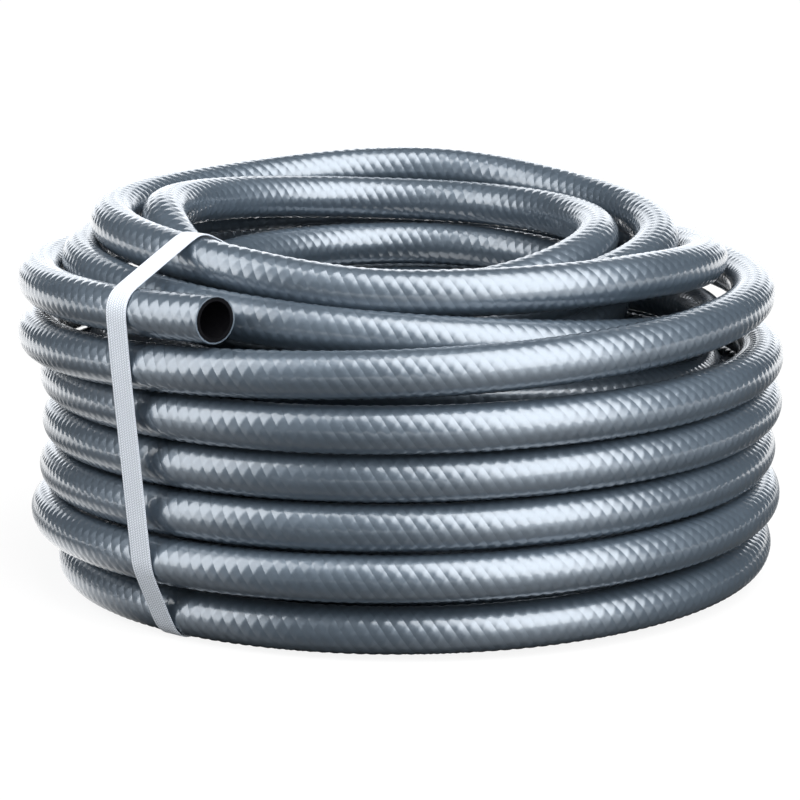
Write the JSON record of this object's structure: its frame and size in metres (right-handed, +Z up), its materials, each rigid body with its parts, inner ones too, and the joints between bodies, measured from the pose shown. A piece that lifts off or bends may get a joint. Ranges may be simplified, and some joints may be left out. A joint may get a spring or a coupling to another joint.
{
  "type": "coiled garden hose",
  "caption": "Tied coil of knit-reinforced garden hose: grey outer tube over a black inner tube, bound by one white woven band.",
  "frame": {"origin": "middle of the coil's bounding box, on the surface it stands on", "axes": "+Z up, -Y towards the front, where the open end shows on the left"},
  "size_m": [0.4212, 0.4148, 0.2161],
  "materials": {
    "slate_grey_pvc": "satin grey with a pearl sheen and a knit relief",
    "black_inner_pvc": "smooth black",
    "white_woven_band": "fine woven white"
  },
  "bodies": {
    "root": {"hose_outer_tube": "slate_grey_pvc", "hose_inner_tube": "black_inner_pvc", "tie_band": "white_woven_band"}
  },
  "joints": []
}
